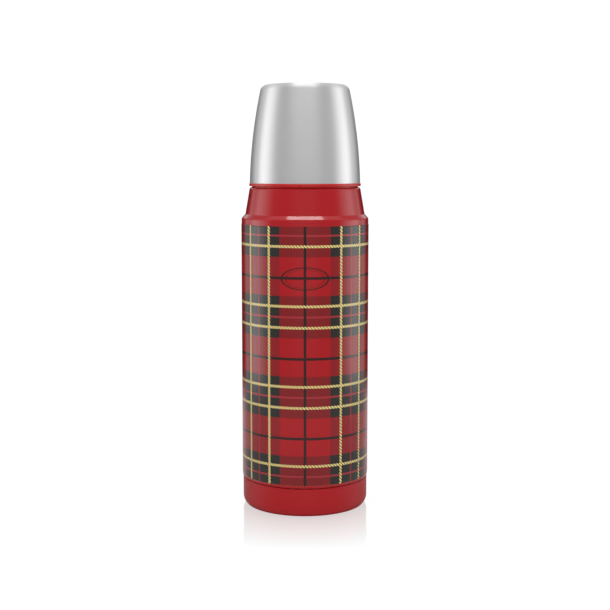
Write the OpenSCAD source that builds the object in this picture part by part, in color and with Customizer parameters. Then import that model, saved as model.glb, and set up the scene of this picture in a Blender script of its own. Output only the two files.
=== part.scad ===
// Stainless steel vacuum flask with a screw-on cup, a twist-and-pour stopper and a moulded base boot.
// Millimetres, +Z up, origin at the centre of the base where the flask stands.

/* [Body] */
// Diameter over the printed wrap
body_d = 75; // [62:0.5:92]
// Length of the straight body, from the boot's seam to the start of the shoulder
body_len = 152.9; // [125:0.1:185]
// Wall of the outer steel shell
shell_t = 0.5; // [0.4:0.05:0.7]
// Thickness of the printed wrap
wrap_t = 0.15; // [0.1:0.05:0.3]
// Plain painted band left below the wrap
wrap_low_margin = 1.7; // [1:0.1:6]
// Plain painted band left above the wrap
wrap_high_margin = 2.4; // [1:0.1:6]

/* [Shoulder and collar] */
// How far the body steps in at the shoulder
shoulder_in = 2.4; // [1.5:0.1:4]
// Rounding of the shoulder's outer edge
shoulder_round = 2.17; // [1:0.01:3]
// Height of the tapered collar
collar_h = 15.7; // [12:0.1:20]
// Lean of the collar's side from upright, in degrees
collar_lean = 9.66; // [4:0.01:12]
// Rounding of the collar's top edge
collar_round = 1.6; // [0.8:0.1:2.4]

/* [Inner vessel] */
// Width of the vacuum gap between the vessel and the shell
vacuum_gap = 4.85; // [3:0.05:6]
// Wall of the inner vessel
vessel_t = 0.5; // [0.4:0.05:0.7]
// Height of the vessel's floor above the base
vessel_floor_z = 12; // [11:0.5:16]
// Rounding of the vessel's lower corner
vessel_corner = 12; // [8:0.5:16]
// Convex radius at the top of the vessel's side
vessel_shoulder_r = 13; // [10:0.5:15]
// Thickness of the radiation foil
foil_t = 0.1; // [0.08:0.01:0.2]

/* [Neck] */
// Height of the neck's lip above the collar
neck_h = 17.3; // [16:0.1:22]
// Vacuum gap between the inner and the outer neck
neck_gap = 2; // [1.5:0.1:3]
// Wall of the thread ring that is pressed over the neck
ring_t = 2.05; // [1.5:0.05:3]
// Height of the ring's flange, seen as the dark line under the cup
ring_flange_h = 0.65; // [0.4:0.05:1.2]
// Width of the ledge that the stopper's seal rests on
seat_w = 2.5; // [2:0.1:3]
// Height of the upper neck above that ledge
seat_depth = 17; // [16.5:0.1:20]

/* [Cup] */
// Height of the cup
cup_h = 58.6; // [48:0.1:71]
// Wall of the steel cup
cup_t = 0.5; // [0.4:0.05:0.8]
// Radius of the cup's gently curved side
cup_side_r = 290; // [250:5:500]
// How far below the rim the curved side would be widest
cup_side_drop = 5.4; // [0:0.1:12]
// Rounding of the cup's top corner
cup_corner = 4.3; // [2.5:0.1:6]
// Height of the moulded rim under the steel
rim_h = 1.6; // [1:0.1:3]
// How far the moulded rim stands proud of the steel
rim_proud = 0.35; // [0.1:0.05:0.6]
// Wall of the cup's liner
liner_t = 1.4; // [1:0.1:2]
// Wall of the liner where it carries the thread
liner_thread_t = 1.6; // [1.4:0.1:2]
// Thickness of the foam disc between the liner and the steel
foam_t = 3; // [2:0.5:5]
// Rounding of the liner's inner corner
liner_corner = 5; // [3:0.5:7]

/* [Cup thread] */
// Rise of the cup in one turn
cup_lead = 12; // [9:0.5:15]
// Number of thread starts on the cup
cup_starts = 3; // [3:1:4]
// Height of the thread's ridge
cup_ridge_h = 1.3; // [1:0.1:1.5]
// Width of the ridge at its root
cup_ridge_w = 1.9; // [1.4:0.1:2]
// Turns that each ridge runs
cup_ridge_turns = 0.7; // [0.4:0.05:0.75]

/* [Stopper thread] */
// Rise of the stopper in one turn
stopper_lead = 6; // [5:0.5:7]
// Number of thread starts on the stopper
stopper_starts = 2; // [1:1:2]
// Height of the thread's ridge
stopper_ridge_h = 1; // [0.7:0.1:1.2]
// Width of the ridge at its root
stopper_ridge_w = 1.4; // [1:0.1:1.6]
// Turns that each ridge runs
stopper_ridge_turns = 1.2; // [0.6:0.1:1.2]

/* [Stopper] */
// Turns that the stopper unscrews
stopper_turns = 1.5; // [1:0.25:1.75]
// Wall of the hollow stopper
stopper_t = 2.6; // [2:0.1:3.5]
// Thickness of the seal under the stopper
seal_h = 2.7; // [2:0.1:3.5]
// Width of the pouring channels
channel_w = 9; // [6:0.5:12]
// Depth of the pouring channels
channel_depth = 1.7; // [1:0.1:2]
// Number of grip ribs round the head
rib_count = 30; // [16:1:40]
// Height of a grip rib
rib_h = 0.9; // [0.5:0.1:1.2]

/* [Base] */
// Height of the base boot
boot_h = 16.5; // [12:0.1:22]
// How far the boot is smaller than the body in radius
boot_inset = 0.43; // [0.2:0.01:1]
// Wall of the boot
boot_t = 1.6; // [1.2:0.05:2.2]
// Thickness of the boot's floor
boot_floor = 2.5; // [2:0.1:3.5]
// Height of the boot's lower rounding
boot_round_h = 4.7; // [3:0.1:6]
// How far the lower rounding pulls in at the floor
boot_round_in = 2.17; // [1:0.01:3]
// Thickness of the foot pad
pad_t = 1.2; // [0.8:0.1:1.5]
// Width of the boot's ring outside the foot pad
pad_margin = 7; // [4:0.5:12]

/* [Fits] */
// Gap of a pressed or glued fit
glue_gap = 0.05; // [0.03:0.01:0.1]
// Gap at a stop or a seal where two moving pieces meet
seat_gap = 0.05; // [0.03:0.01:0.1]
// Radial gap over a thread's crest
thread_gap = 0.4; // [0.3:0.05:0.5]
// Gap round the foam pieces
foam_gap = 0.1; // [0.05:0.05:0.3]
// Gap between the stopper's head and the neck's lip
head_gap = 0.4; // [0.3:0.1:0.8]
// Room left above and beside the stopper's head when it is unscrewed under the cup
lift_room = 1.2; // [1:0.1:3]
// Height of the seam between the boot and the body
seam_h = 0.3; // [0.2:0.05:0.6]

/* [Hidden] */
$fn = 96;

paint_red = [0.66, 0.13, 0.16];
moulded_red = [0.73, 0.17, 0.15];
steel = [0.76, 0.76, 0.77];
black = [0.10, 0.10, 0.11];

// Heights, from the floor up
seam_z = boot_h + seam_h;
body_top_z = seam_z + body_len;
shoulder_z = body_top_z + shoulder_round * (sqrt(2) - 1) + shoulder_in;
collar_z = shoulder_z + collar_h;
lip_z = collar_z + neck_h;
seat_z = lip_z - seat_depth;
rim_z = collar_z + ring_flange_h + seat_gap;
cup_top_z = rim_z + cup_h;
foam_z = cup_top_z - cup_t - foam_gap - foam_t;
cup_floor_z = foam_z - foam_gap - liner_t;

// Radii, from the outside in
body_r = body_d / 2;
shell_r = body_r - wrap_t;
collar_r = body_r - shoulder_in;
cup_r = collar_r - collar_h * tan(collar_lean);
collar_top_centre_r = cup_r + collar_round * tan(collar_lean) - collar_round / cos(collar_lean);
liner_thread_r = cup_r - cup_t - glue_gap - liner_thread_t;
ring_crest_r = liner_thread_r - thread_gap;
ring_r = ring_crest_r - cup_ridge_h;
neck_r = ring_r - ring_t - glue_gap;
bore_r = neck_r - shell_t - neck_gap - vessel_t;
throat_r = bore_r - seat_w;
plug_crest_r = bore_r - thread_gap;
plug_r = plug_crest_r - stopper_ridge_h;
vessel_r = shell_r - shell_t - vacuum_gap - vessel_t;

// Base
boot_r = body_r - boot_inset;
swage_r = boot_r - boot_t - glue_gap;
seam_round = 0.8;
boot_edge_round = 0.5;
plate_rim_h = 2.4;
plate_well_r = 7;
plate_well_h = 1.2;
bead_h = 0.8;
bead_r = 5;
pump_hole_r = 1;
pad_r = boot_r - boot_round_in - pad_margin;

// Getter, held under the vessel's floor
getter_r = 4;
getter_h = 2.5;
bracket_t = 0.4;
bracket_len = 22;
bracket_w = 11;

// Vessel shoulder: a convex arc runs into a concave one down to the throat
vessel_turn = 60;
throat_h = 7.8;
throat_round = (vessel_r - throat_r) / (1 - cos(vessel_turn)) - vessel_shoulder_r;
throat_z = seat_z - throat_h;
vessel_top_z = throat_z - (vessel_shoulder_r + throat_round) * sin(vessel_turn);

// Cup side: one arc, centred far across the axis
cup_side_z = rim_z - cup_side_drop;
cup_side_x = cup_r - sqrt(cup_side_r ^ 2 - (rim_z + rim_h - cup_side_z) ^ 2);
corner_skip = 0.4;
liner_out = cup_t + glue_gap;
liner_in = liner_out + liner_t;
liner_thread_margin = 3.1;
liner_thread_band = cup_lead * cup_ridge_turns + liner_thread_margin;
liner_thread_ease = 1.5;
liner_lead_in = 0.5;
liner_thread_top_z = rim_z + liner_thread_band;
// Radius inside the liner's side at height z
function liner_inside_r(z) = cup_side_x + sqrt((cup_side_r - liner_in) ^ 2 - (z - cup_side_z) ^ 2);

// Threads: the two ridges of a pair run half a pitch apart
cup_pitch = cup_lead / cup_starts;
cup_ridge_base = 1.9;
cup_ridge_z = collar_z + cup_ridge_base + cup_pitch / 2;
stopper_pitch = stopper_lead / stopper_starts;
neck_ridge_base = 4.5;
neck_ridge_z = seat_z + neck_ridge_base;
ridge_slope = 0.38;
ridge_root_sink = 0.3;
ridge_tip_sink = 0.1;
ridge_steps = 36;
ridge_fade = 0.12;
ring_top_gap = 0.4;
ring_chamfer = 0.6;

// Stopper
stopper_lift = stopper_turns * stopper_lead;
seal_z = seat_z + seat_gap;
seal_gap = 0.2;
seal_r = bore_r - stopper_ridge_h - seal_gap;
seal_low_chamfer = 0.5;
seal_high_chamfer = 0.8;
seal_edge_h = 1;
plug_z = seal_z + seal_h;
base_gap = 0.6;
base_depth = 7;
base_round = 2;
base_cap_t = 2.2;
base_wall = 2.9;
base_r = throat_r - base_gap;
spigot_r = base_r - base_wall;
base_bottom_z = seat_z - base_depth;
spigot_bottom_z = base_bottom_z + base_cap_t;
ring_seal_r = 1.05;
ring_seal_sink = 0.95;
ring_seal_drop = 1.75;
ring_seal_z = lip_z - ring_seal_drop;
channel_margin = 1;
channel_top_z = ring_seal_z - ring_seal_r - channel_margin;
head_z = lip_z + head_gap;
head_top_z = cup_floor_z - stopper_lift - lift_room;
grip_r = liner_inside_r(head_top_z + stopper_lift) - lift_room;
knob_r = grip_r - rib_h;
rib_sink = 0.1;
rib_overlap = 0.5;
rib_top_margin = 1.5;
head_round = 1;
flange_h = 2.4;
flange_inset = 1;
flange_chamfer = 0.8;
flange_r = neck_r - flange_inset;
cavity_r = plug_r - channel_depth - stopper_t;
lid_t = 2;
lid_r = knob_r - stopper_t - glue_gap;
lid_ledge = 1.2;
mark_depth = 0.4;
mark_w = 1.6;
mark_angle = 70;
mark_head_w = 4.8;
mark_head_len = 4;
mark_r = lid_r * 0.6;
cut = 1;

function arc(c, r, from, to, steps) =
    [for (i = [0:steps]) let (a = from + (to - from) * i / steps) c + r * [cos(a), sin(a)]];
function reversed(list) = [for (i = [len(list) - 1:-1:0]) list[i]];
function wall(outside, inside) = concat(outside, reversed(inside));

module turned(outline) {
    rotate_extrude() polygon(outline);
}

module ring(outer, inner, z, h) {
    translate([0, 0, z]) difference() {
        cylinder(r = outer, h = h);
        translate([0, 0, -cut]) cylinder(r = inner, h = h + 2 * cut);
    }
}

// One helical ridge on a wall of radius root, standing out to radius tip, with both ends faded into the wall
module ridge(root, tip, width, lead, turns, z, start) {
    out = sign(tip - root);
    n = round(ridge_steps * turns);
    tip_w = width - 2 * ridge_slope * abs(tip - root);
    sink_w = width + 2 * ridge_slope * ridge_root_sink;
    points = [for (i = [0:n])
        let (a = start + 360 * turns * i / n,
             h = z + lead * turns * i / n,
             fade = min(1, i / n / ridge_fade, (1 - i / n) / ridge_fade),
             low = root - out * ridge_tip_sink,
             r = low + (tip - low) * fade,
             side = [cos(a), sin(a)])
        for (p = [[root - out * ridge_root_sink, -sink_w / 2], [r, -tip_w / 2],
                  [r, tip_w / 2], [root - out * ridge_root_sink, sink_w / 2]])
            [side[0] * p[0], side[1] * p[0], h + p[1]]];
    sides = [for (i = [0:n - 1]) for (k = [0:3])
        let (a = 4 * i + k, b = 4 * i + (k + 1) % 4)
        for (f = [[a, b, b + 4], [a, b + 4, a + 4]]) out > 0 ? f : reversed(f)];
    ends = [[3, 2, 1, 0], [4 * n, 4 * n + 1, 4 * n + 2, 4 * n + 3]];
    polyhedron(points, concat(sides, [for (f = ends) out > 0 ? f : reversed(f)]), convexity = 6);
}

module ridges(root, tip, width, lead, turns, z, starts) {
    for (i = [0:starts - 1]) ridge(root, tip, width, lead, turns, z, 360 * i / starts);
}

// The shell's surface, moved inwards by t
function shell_line(t) = concat(
    [[swage_r - t, boot_floor], [swage_r - t, seam_z + t]],
    arc([shell_r - seam_round, seam_z + seam_round], seam_round - t, -90, 0, 5),
    arc([shell_r - shoulder_round, body_top_z], shoulder_round - t, 0, 45, 6),
    [[collar_r - t, shoulder_z - t * (sqrt(2) - 1)]],
    arc([collar_top_centre_r, collar_z - collar_round], collar_round - t, collar_lean, 90, 7),
    [[neck_r - t, collar_z - t], [neck_r - t, lip_z - vessel_t]]);

module outer_shell() {
    color(paint_red) turned(wall(shell_line(0), shell_line(shell_t)));
}

// The vessel's surface on the liquid side, moved outwards by t
function vessel_line(t) = concat(
    [[0, vessel_floor_z - t]],
    arc([vessel_r - vessel_corner, vessel_floor_z + vessel_corner], vessel_corner + t, -90, 0, 10),
    arc([vessel_r - vessel_shoulder_r, vessel_top_z], vessel_shoulder_r + t, 0, vessel_turn, 8),
    arc([throat_r + throat_round, throat_z], throat_round - t, 180 + vessel_turn, 180, 6));

module inner_flask() {
    color(steel) turned(wall(vessel_line(vessel_t), vessel_line(0)));
}

// Neck piece welded on top of the vessel: throat, seal ledge, threaded bore and rolled lip
module inner_neck() {
    t = vessel_t;
    color(steel) {
        turned([[throat_r + t, throat_z], [throat_r + t, seat_z - t], [bore_r + t, seat_z - t],
                [bore_r + t, lip_z - t], [neck_r, lip_z - t], [neck_r, lip_z],
                [bore_r, lip_z], [bore_r, seat_z], [throat_r, seat_z], [throat_r, throat_z]]);
        ridges(bore_r, bore_r - stopper_ridge_h, stopper_ridge_w, stopper_lead, stopper_ridge_turns,
               neck_ridge_z, stopper_starts);
    }
}

module base_plate() {
    edge_r = swage_r - shell_t - glue_gap;
    rim_top = boot_floor + plate_rim_h;
    well_top = rim_top + plate_well_h;
    color(steel) turned([
        [edge_r, boot_floor], [edge_r, rim_top], [plate_well_r, rim_top], [plate_well_r - shell_t, well_top],
        [pump_hole_r, well_top], [pump_hole_r, well_top - shell_t],
        [plate_well_r - 2 * shell_t, well_top - shell_t], [plate_well_r - shell_t, rim_top - shell_t],
        [edge_r - shell_t, rim_top - shell_t], [edge_r - shell_t, boot_floor]]);
}

// Solder bead that closes the pump hole, in the well on the plate's underside
module vacuum_seal() {
    well_top = boot_floor + plate_rim_h + plate_well_h - shell_t;
    color("dimgray") turned(concat(
        [[0, well_top]],
        [for (i = [0:6]) let (a = 90 * i / 6) [bead_r * cos(a), well_top - bead_h * sin(a)]]));
}

module getter() {
    color("gray") translate([0, 0, vessel_floor_z - vessel_t - bracket_t - getter_h])
        cylinder(r = getter_r, h = getter_h);
}

// Spot-welded strip with a collar that grips the getter
module getter_bracket() {
    top = vessel_floor_z - vessel_t;
    color(steel) {
        translate([-bracket_len / 2, -bracket_w / 2, top - bracket_t])
            cube([bracket_len, bracket_w, bracket_t]);
        ring(getter_r + glue_gap + bracket_t, getter_r + glue_gap, top - bracket_t - getter_h,
             getter_h + bracket_t / 2);
    }
}

module radiation_foil() {
    r = vessel_r + vessel_t + glue_gap;
    low = vessel_floor_z + vessel_corner;
    color("silver") ring(r + foil_t, r, low, vessel_top_z - low);
}

module body_wrap() {
    low = seam_z + wrap_low_margin;
    color([0.55, 0.12, 0.14]) ring(body_r, shell_r, low, body_top_z - wrap_high_margin - low);
}

module base_boot() {
    round_r = (boot_round_in ^ 2 + boot_round_h ^ 2) / (2 * boot_round_in);
    inner_r = swage_r + glue_gap;
    color(paint_red) turned(concat(
        [[0, pad_t], [pad_r + glue_gap, pad_t], [pad_r + glue_gap, 0]],
        arc([boot_r - round_r, boot_round_h], round_r, -asin(boot_round_h / round_r), 0, 10),
        arc([boot_r - boot_edge_round, boot_h - boot_edge_round], boot_edge_round, 0, 90, 5),
        [[inner_r, boot_h], [inner_r, boot_floor], [0, boot_floor]]));
}

module foot_pad() {
    color(black) cylinder(r = pad_r, h = pad_t);
}

module neck_thread_ring() {
    bore = neck_r + glue_gap;
    flange = collar_top_centre_r;
    top = lip_z - vessel_t - ring_top_gap;
    color(moulded_red) {
        turned([[bore, collar_z], [flange, collar_z], [flange, collar_z + ring_flange_h],
                [ring_r, collar_z + ring_flange_h], [ring_r, top - ring_chamfer],
                [ring_r - ring_chamfer, top], [bore, top]]);
        ridges(ring_r, ring_crest_r, cup_ridge_w, cup_lead, cup_ridge_turns, cup_ridge_z, cup_starts);
    }
}

module stopper_body() {
    rib_z = head_z + flange_h - rib_overlap;
    color(black) difference() {
        union() {
            turned(concat(
                [[0, spigot_bottom_z], [spigot_r, spigot_bottom_z], [spigot_r, plug_z], [plug_r, plug_z],
                 [plug_r, head_z], [flange_r, head_z], [flange_r, head_z + flange_h - flange_chamfer],
                 [flange_r - flange_chamfer, head_z + flange_h], [knob_r, head_z + flange_h]],
                arc([knob_r - head_round, head_top_z - head_round], head_round, 0, 90, 4),
                [[lid_r + glue_gap, head_top_z], [lid_r + glue_gap, head_top_z - lid_t],
                 [lid_r - lid_ledge, head_top_z - lid_t], [lid_r - lid_ledge, head_z + flange_h],
                 [cavity_r, head_z], [cavity_r, plug_z + stopper_t], [0, plug_z + stopper_t]]));
            ridges(plug_r, plug_crest_r, stopper_ridge_w, stopper_lead, stopper_ridge_turns,
                   neck_ridge_z + stopper_pitch / 2, stopper_starts);
            for (i = [0:rib_count - 1]) rotate(360 * i / rib_count)
                translate([knob_r - rib_sink, 0, rib_z])
                    cylinder(r = rib_h, h = head_top_z - rib_top_margin - rib_z, $fn = 24);
        }
        for (a = [90, 270]) rotate(a)
            translate([plug_r - channel_depth, -channel_w / 2, plug_z - cut])
                cube([channel_depth + stopper_ridge_h + cut, channel_w, channel_top_z - plug_z + cut]);
        translate([0, 0, ring_seal_z]) rotate_extrude()
            translate([plug_r + ring_seal_r - ring_seal_sink, 0]) circle(r = ring_seal_r + glue_gap);
    }
}

// Top disc of the stopper, with two curved arrows sunk into it
module stopper_lid() {
    color(moulded_red) difference() {
        translate([0, 0, head_top_z - lid_t]) cylinder(r = lid_r, h = lid_t);
        for (a = [0, 180]) rotate(a) translate([0, 0, head_top_z - mark_depth]) {
            rotate_extrude(angle = mark_angle) translate([mark_r, 0]) square([mark_w, cut]);
            rotate(mark_angle) translate([mark_r + mark_w / 2, 0, 0]) linear_extrude(cut)
                polygon([[-mark_head_w / 2, -0.1], [mark_head_w / 2, -0.1], [0, mark_head_len]]);
        }
    }
}

module stopper_foam() {
    low = plug_z + stopper_t + foam_gap;
    step = lid_r - lid_ledge - foam_gap;
    color("ivory") turned([[0, low], [cavity_r - foam_gap, low], [cavity_r - foam_gap, head_z],
                           [min(step, cavity_r + flange_h), head_z + flange_h + foam_gap],
                           [step, head_top_z - lid_t - foam_gap], [0, head_top_z - lid_t - foam_gap]]);
}

module stopper_base() {
    color(black) turned(concat(
        [[0, base_bottom_z]],
        arc([base_r - base_round, base_bottom_z + base_round], base_round, -90, 0, 5),
        [[base_r, seal_z], [spigot_r + glue_gap, seal_z], [spigot_r + glue_gap, spigot_bottom_z],
         [0, spigot_bottom_z]]));
}

module stopper_seal() {
    inner_r = spigot_r + glue_gap;
    color("gainsboro") turned([
        [inner_r, seal_z], [seal_r - seal_low_chamfer, seal_z], [seal_r, seal_z + seal_low_chamfer],
        [seal_r, plug_z - seal_edge_h], [seal_r - seal_high_chamfer, plug_z], [inner_r, plug_z]]);
}

module stopper_o_ring() {
    color("gainsboro") translate([0, 0, ring_seal_z]) rotate_extrude()
        translate([plug_r + ring_seal_r - ring_seal_sink, 0]) circle(r = ring_seal_r);
}

// The cup's side and top, moved inwards by t; corner is the rounding at the top
function cup_line(t, from_z, top_z, corner, steps) =
    let (r = cup_side_r - t,
         corner_z = top_z - corner,
         corner_x = cup_side_x + sqrt((r - corner) ^ 2 - (corner_z - cup_side_z) ^ 2),
         corner_a = asin((corner_z - cup_side_z) / (r - corner)),
         from_a = asin((from_z - cup_side_z) / r))
    concat(arc([cup_side_x, cup_side_z], r, from_a, corner_a, steps),
           [for (p = arc([corner_x, corner_z], corner, corner_a, 90, 9))
               if (p[1] > corner_z + corner_skip) p],
           [[0, top_z]]);

module cup_shell() {
    color(steel) turned(wall(cup_line(0, rim_z + rim_h, cup_top_z, cup_corner, 12),
                             cup_line(cup_t, rim_z + rim_h, cup_top_z - cup_t, cup_corner - cup_t, 12)));
}

module cup_liner() {
    out = cup_line(liner_out, rim_z + rim_h, cup_floor_z + liner_t, liner_corner + liner_t, 12);
    inside = cup_line(liner_in, liner_thread_top_z, cup_floor_z, liner_corner, 12);
    color(moulded_red) {
        turned(wall(concat([[cup_r, rim_z]],
                           arc([cup_r, rim_z + rim_proud], rim_proud, -60, 0, 3),
                           arc([cup_r, rim_z + rim_h - rim_proud], rim_proud, 0, 90, 3),
                           out),
                    concat([[liner_thread_r + liner_lead_in, rim_z], [liner_thread_r, rim_z + liner_lead_in],
                            [liner_thread_r, liner_thread_top_z - liner_thread_ease]], inside)));
        ridges(liner_thread_r, liner_thread_r - cup_ridge_h, cup_ridge_w, cup_lead, cup_ridge_turns,
               cup_ridge_z - cup_pitch / 2, cup_starts);
    }
}

module cup_insulation() {
    t = cup_t + foam_gap;
    edge = 0.8;
    r = cup_side_x + sqrt((cup_side_r - cup_t - cup_corner) ^ 2 - (cup_top_z - cup_corner - cup_side_z) ^ 2);
    color("ivory") turned([
        [0, foam_z], [r, foam_z], [r + edge, foam_z + edge], [r + edge, foam_z + foam_t - edge],
        [r, foam_z + foam_t], [0, foam_z + foam_t]]);
}

outer_shell();
inner_flask();
inner_neck();
base_plate();
vacuum_seal();
getter();
getter_bracket();
radiation_foil();
body_wrap();
base_boot();
foot_pad();
neck_thread_ring();
stopper_body();
stopper_lid();
stopper_foam();
stopper_base();
stopper_seal();
stopper_o_ring();
cup_shell();
cup_liner();
cup_insulation();
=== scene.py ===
import math

import bmesh
import bpy
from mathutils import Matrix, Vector


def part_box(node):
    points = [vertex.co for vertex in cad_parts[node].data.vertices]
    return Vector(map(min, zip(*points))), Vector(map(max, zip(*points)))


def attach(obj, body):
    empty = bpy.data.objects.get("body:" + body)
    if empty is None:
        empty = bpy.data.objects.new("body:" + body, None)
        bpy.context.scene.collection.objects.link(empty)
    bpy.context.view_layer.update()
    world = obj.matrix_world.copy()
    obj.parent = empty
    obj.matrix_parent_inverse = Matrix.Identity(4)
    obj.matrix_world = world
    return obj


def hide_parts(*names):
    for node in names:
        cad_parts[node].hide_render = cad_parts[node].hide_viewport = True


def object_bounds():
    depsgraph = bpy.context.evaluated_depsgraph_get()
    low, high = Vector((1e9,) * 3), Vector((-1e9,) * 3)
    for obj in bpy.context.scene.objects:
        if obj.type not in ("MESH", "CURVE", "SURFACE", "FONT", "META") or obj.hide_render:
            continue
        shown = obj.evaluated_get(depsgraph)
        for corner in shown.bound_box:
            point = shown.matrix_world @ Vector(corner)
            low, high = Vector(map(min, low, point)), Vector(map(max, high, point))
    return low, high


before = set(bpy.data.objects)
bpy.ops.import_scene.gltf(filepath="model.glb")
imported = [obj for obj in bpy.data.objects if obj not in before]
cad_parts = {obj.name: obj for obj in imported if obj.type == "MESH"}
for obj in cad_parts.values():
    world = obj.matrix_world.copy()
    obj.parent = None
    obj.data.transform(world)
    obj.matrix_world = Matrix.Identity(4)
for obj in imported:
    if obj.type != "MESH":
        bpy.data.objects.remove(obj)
cadLow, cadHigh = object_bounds()
mm = 0.001
print("frame loaded:", len(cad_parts), "nodes")


def addNode(tree, kind, values=None, **settings):
    node = tree.nodes.new(kind)
    for name, value in settings.items():
        setattr(node, name, value)
    for name, value in (values or {}).items():
        node.inputs[name].default_value = value
    return node


def feed(tree, term, socket):
    # a number, colour or vector is set on the socket, anything else is linked to it
    if isinstance(term, (int, float, tuple)):
        socket.default_value = term
    else:
        tree.links.new(term, socket)


def calc(tree, operation, *terms):
    node = tree.nodes.new("ShaderNodeMath")
    node.operation = operation
    for place, term in enumerate(terms):
        feed(tree, term, node.inputs[place])
    return node.outputs[0]


def split(tree, vector):
    node = addNode(tree, "ShaderNodeSeparateXYZ")
    tree.links.new(vector, node.inputs[0])
    return node.outputs


def combine(tree, *terms):
    node = addNode(tree, "ShaderNodeCombineXYZ")
    for place, term in enumerate(terms):
        feed(tree, term, node.inputs[place])
    return node.outputs[0]


def mixShaders(tree, share, first, second):
    node = addNode(tree, "ShaderNodeMixShader")
    for place, term in enumerate((share, first, second)):
        tree.links.new(term, node.inputs[place])
    return node.outputs[0]


def ranged(tree, value, low, high, fromLow=0.3, fromHigh=0.7, smooth=False):
    node = addNode(tree, "ShaderNodeMapRange")
    node.interpolation_type = "SMOOTHSTEP" if smooth else "LINEAR"
    terms = {"Value": value, "From Min": fromLow, "From Max": fromHigh, "To Min": low, "To Max": high}
    for name, term in terms.items():
        feed(tree, term, node.inputs[name])
    return node.outputs["Result"]


# camera and studio

cameraView = {
    "place": (0.0, -0.7208, 0.2029),
    "tiltDown": 6.65,  # degrees
    "lens": 72.0,
    "sensor": 36.0,
}

studio = {
    "backdrop": 1.05,
    "frontGlow": 0.35,
    "sideGlow": 2.1,
    "sideShoulder": 0.33,  # share of the side glow that reaches further back
    "sideRise": (52.0, 98.0),  # degrees from the camera's side
    "sideFall": (103.0, 120.0),
    "sideEnd": (131.0, 143.0),
    "sideLift": (0.05, 0.5, 0.4),
    "backDark": 0.02,
    "backWall": 0.95,
    "wallTurn": (2.3, 2.8),  # radians from the camera's side
    "wallRise": (0.15, 0.22),
    "overhead": 0.5,
    "ceilingRise": (0.5, 0.9),
    "topRadiance": 8.5,
    "topPlace": (0.0, -0.14, 1.25),
    "topSize": (0.75, 0.2),
    "fillRadiance": 2.5,
    "fillPlace": (0.0, -1.8, 0.5),
    "fillSize": 1.5,
    "floorRadius": 0.5,
    "floorFade": (0.6, 0.95),
    "floorWhite": 1.02,
    "floorShade": 0.55,
    "floorGloss": 0.38,
    "floorRoughness": 0.06,
    "glossReach": 0.062,
}


def addSoftbox(name, place, aim, width, height, radiance):
    light = bpy.data.lights.new(name, "AREA")
    light.shape = "RECTANGLE"
    light.size = width
    light.size_y = height
    light.energy = radiance * math.pi * width * height
    box = bpy.data.objects.new(name, light)
    box.location = place
    box.rotation_euler = (Vector(aim) - Vector(place)).to_track_quat("-Z", "Y").to_euler()
    box.visible_camera = False
    bpy.context.scene.collection.objects.link(box)
    return box


def setCamera():
    data = bpy.data.cameras.new("camera")
    data.lens = cameraView["lens"]
    data.sensor_width = cameraView["sensor"]
    camera = bpy.data.objects.new("camera", data)
    camera.location = cameraView["place"]
    camera.rotation_euler = (math.radians(90 - cameraView["tiltDown"]), 0, 0)
    bpy.context.scene.collection.objects.link(camera)
    bpy.context.scene.camera = camera


def setRoom():
    # pale in front, dark low behind, a white wall above that and a soft ceiling
    world = bpy.data.worlds.new("room")
    world.use_nodes = True
    tree = world.node_tree
    tree.nodes.clear()
    across, back, up = split(tree, addNode(tree, "ShaderNodeTexCoord").outputs["Generated"])
    turn = calc(tree, "ABSOLUTE", calc(tree, "ARCTAN2", across, calc(tree, "MULTIPLY", back, -1)))

    def step(low, high, name):
        start, end = (math.radians(edge) for edge in studio[name])
        return ranged(tree, turn, low, high, start, end, smooth=True)

    liftFrom, liftTo, liftShare = studio["sideLift"]
    level = step(studio["frontGlow"], studio["backDark"], "sideEnd")
    side = step(0, studio["sideGlow"], "sideRise")
    side = calc(tree, "MULTIPLY", side, step(1, studio["sideShoulder"], "sideFall"))
    side = calc(tree, "MULTIPLY", side, step(1, 0, "sideEnd"))
    side = calc(tree, "MULTIPLY", side, ranged(tree, up, 1, liftShare, liftFrom, liftTo))
    wall = ranged(tree, turn, 0, studio["backWall"], *studio["wallTurn"])
    wall = calc(tree, "MULTIPLY", wall, ranged(tree, up, 0, 1, *studio["wallRise"]))
    ceiling = ranged(tree, up, 0, studio["overhead"], *studio["ceilingRise"], smooth=True)
    for more in (side, wall, ceiling):
        level = calc(tree, "MAXIMUM", level, more)
    seen = addNode(tree, "ShaderNodeBackground", {"Color": (1, 1, 1, 1), "Strength": studio["backdrop"]})
    unseen = addNode(tree, "ShaderNodeBackground", {"Color": (1, 1, 1, 1)})
    tree.links.new(level, unseen.inputs["Strength"])
    path = addNode(tree, "ShaderNodeLightPath")
    mix = mixShaders(tree, path.outputs["Is Camera Ray"], unseen.outputs[0], seen.outputs[0])
    tree.links.new(mix, addNode(tree, "ShaderNodeOutputWorld").inputs[0])
    bpy.context.scene.world = world


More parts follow.
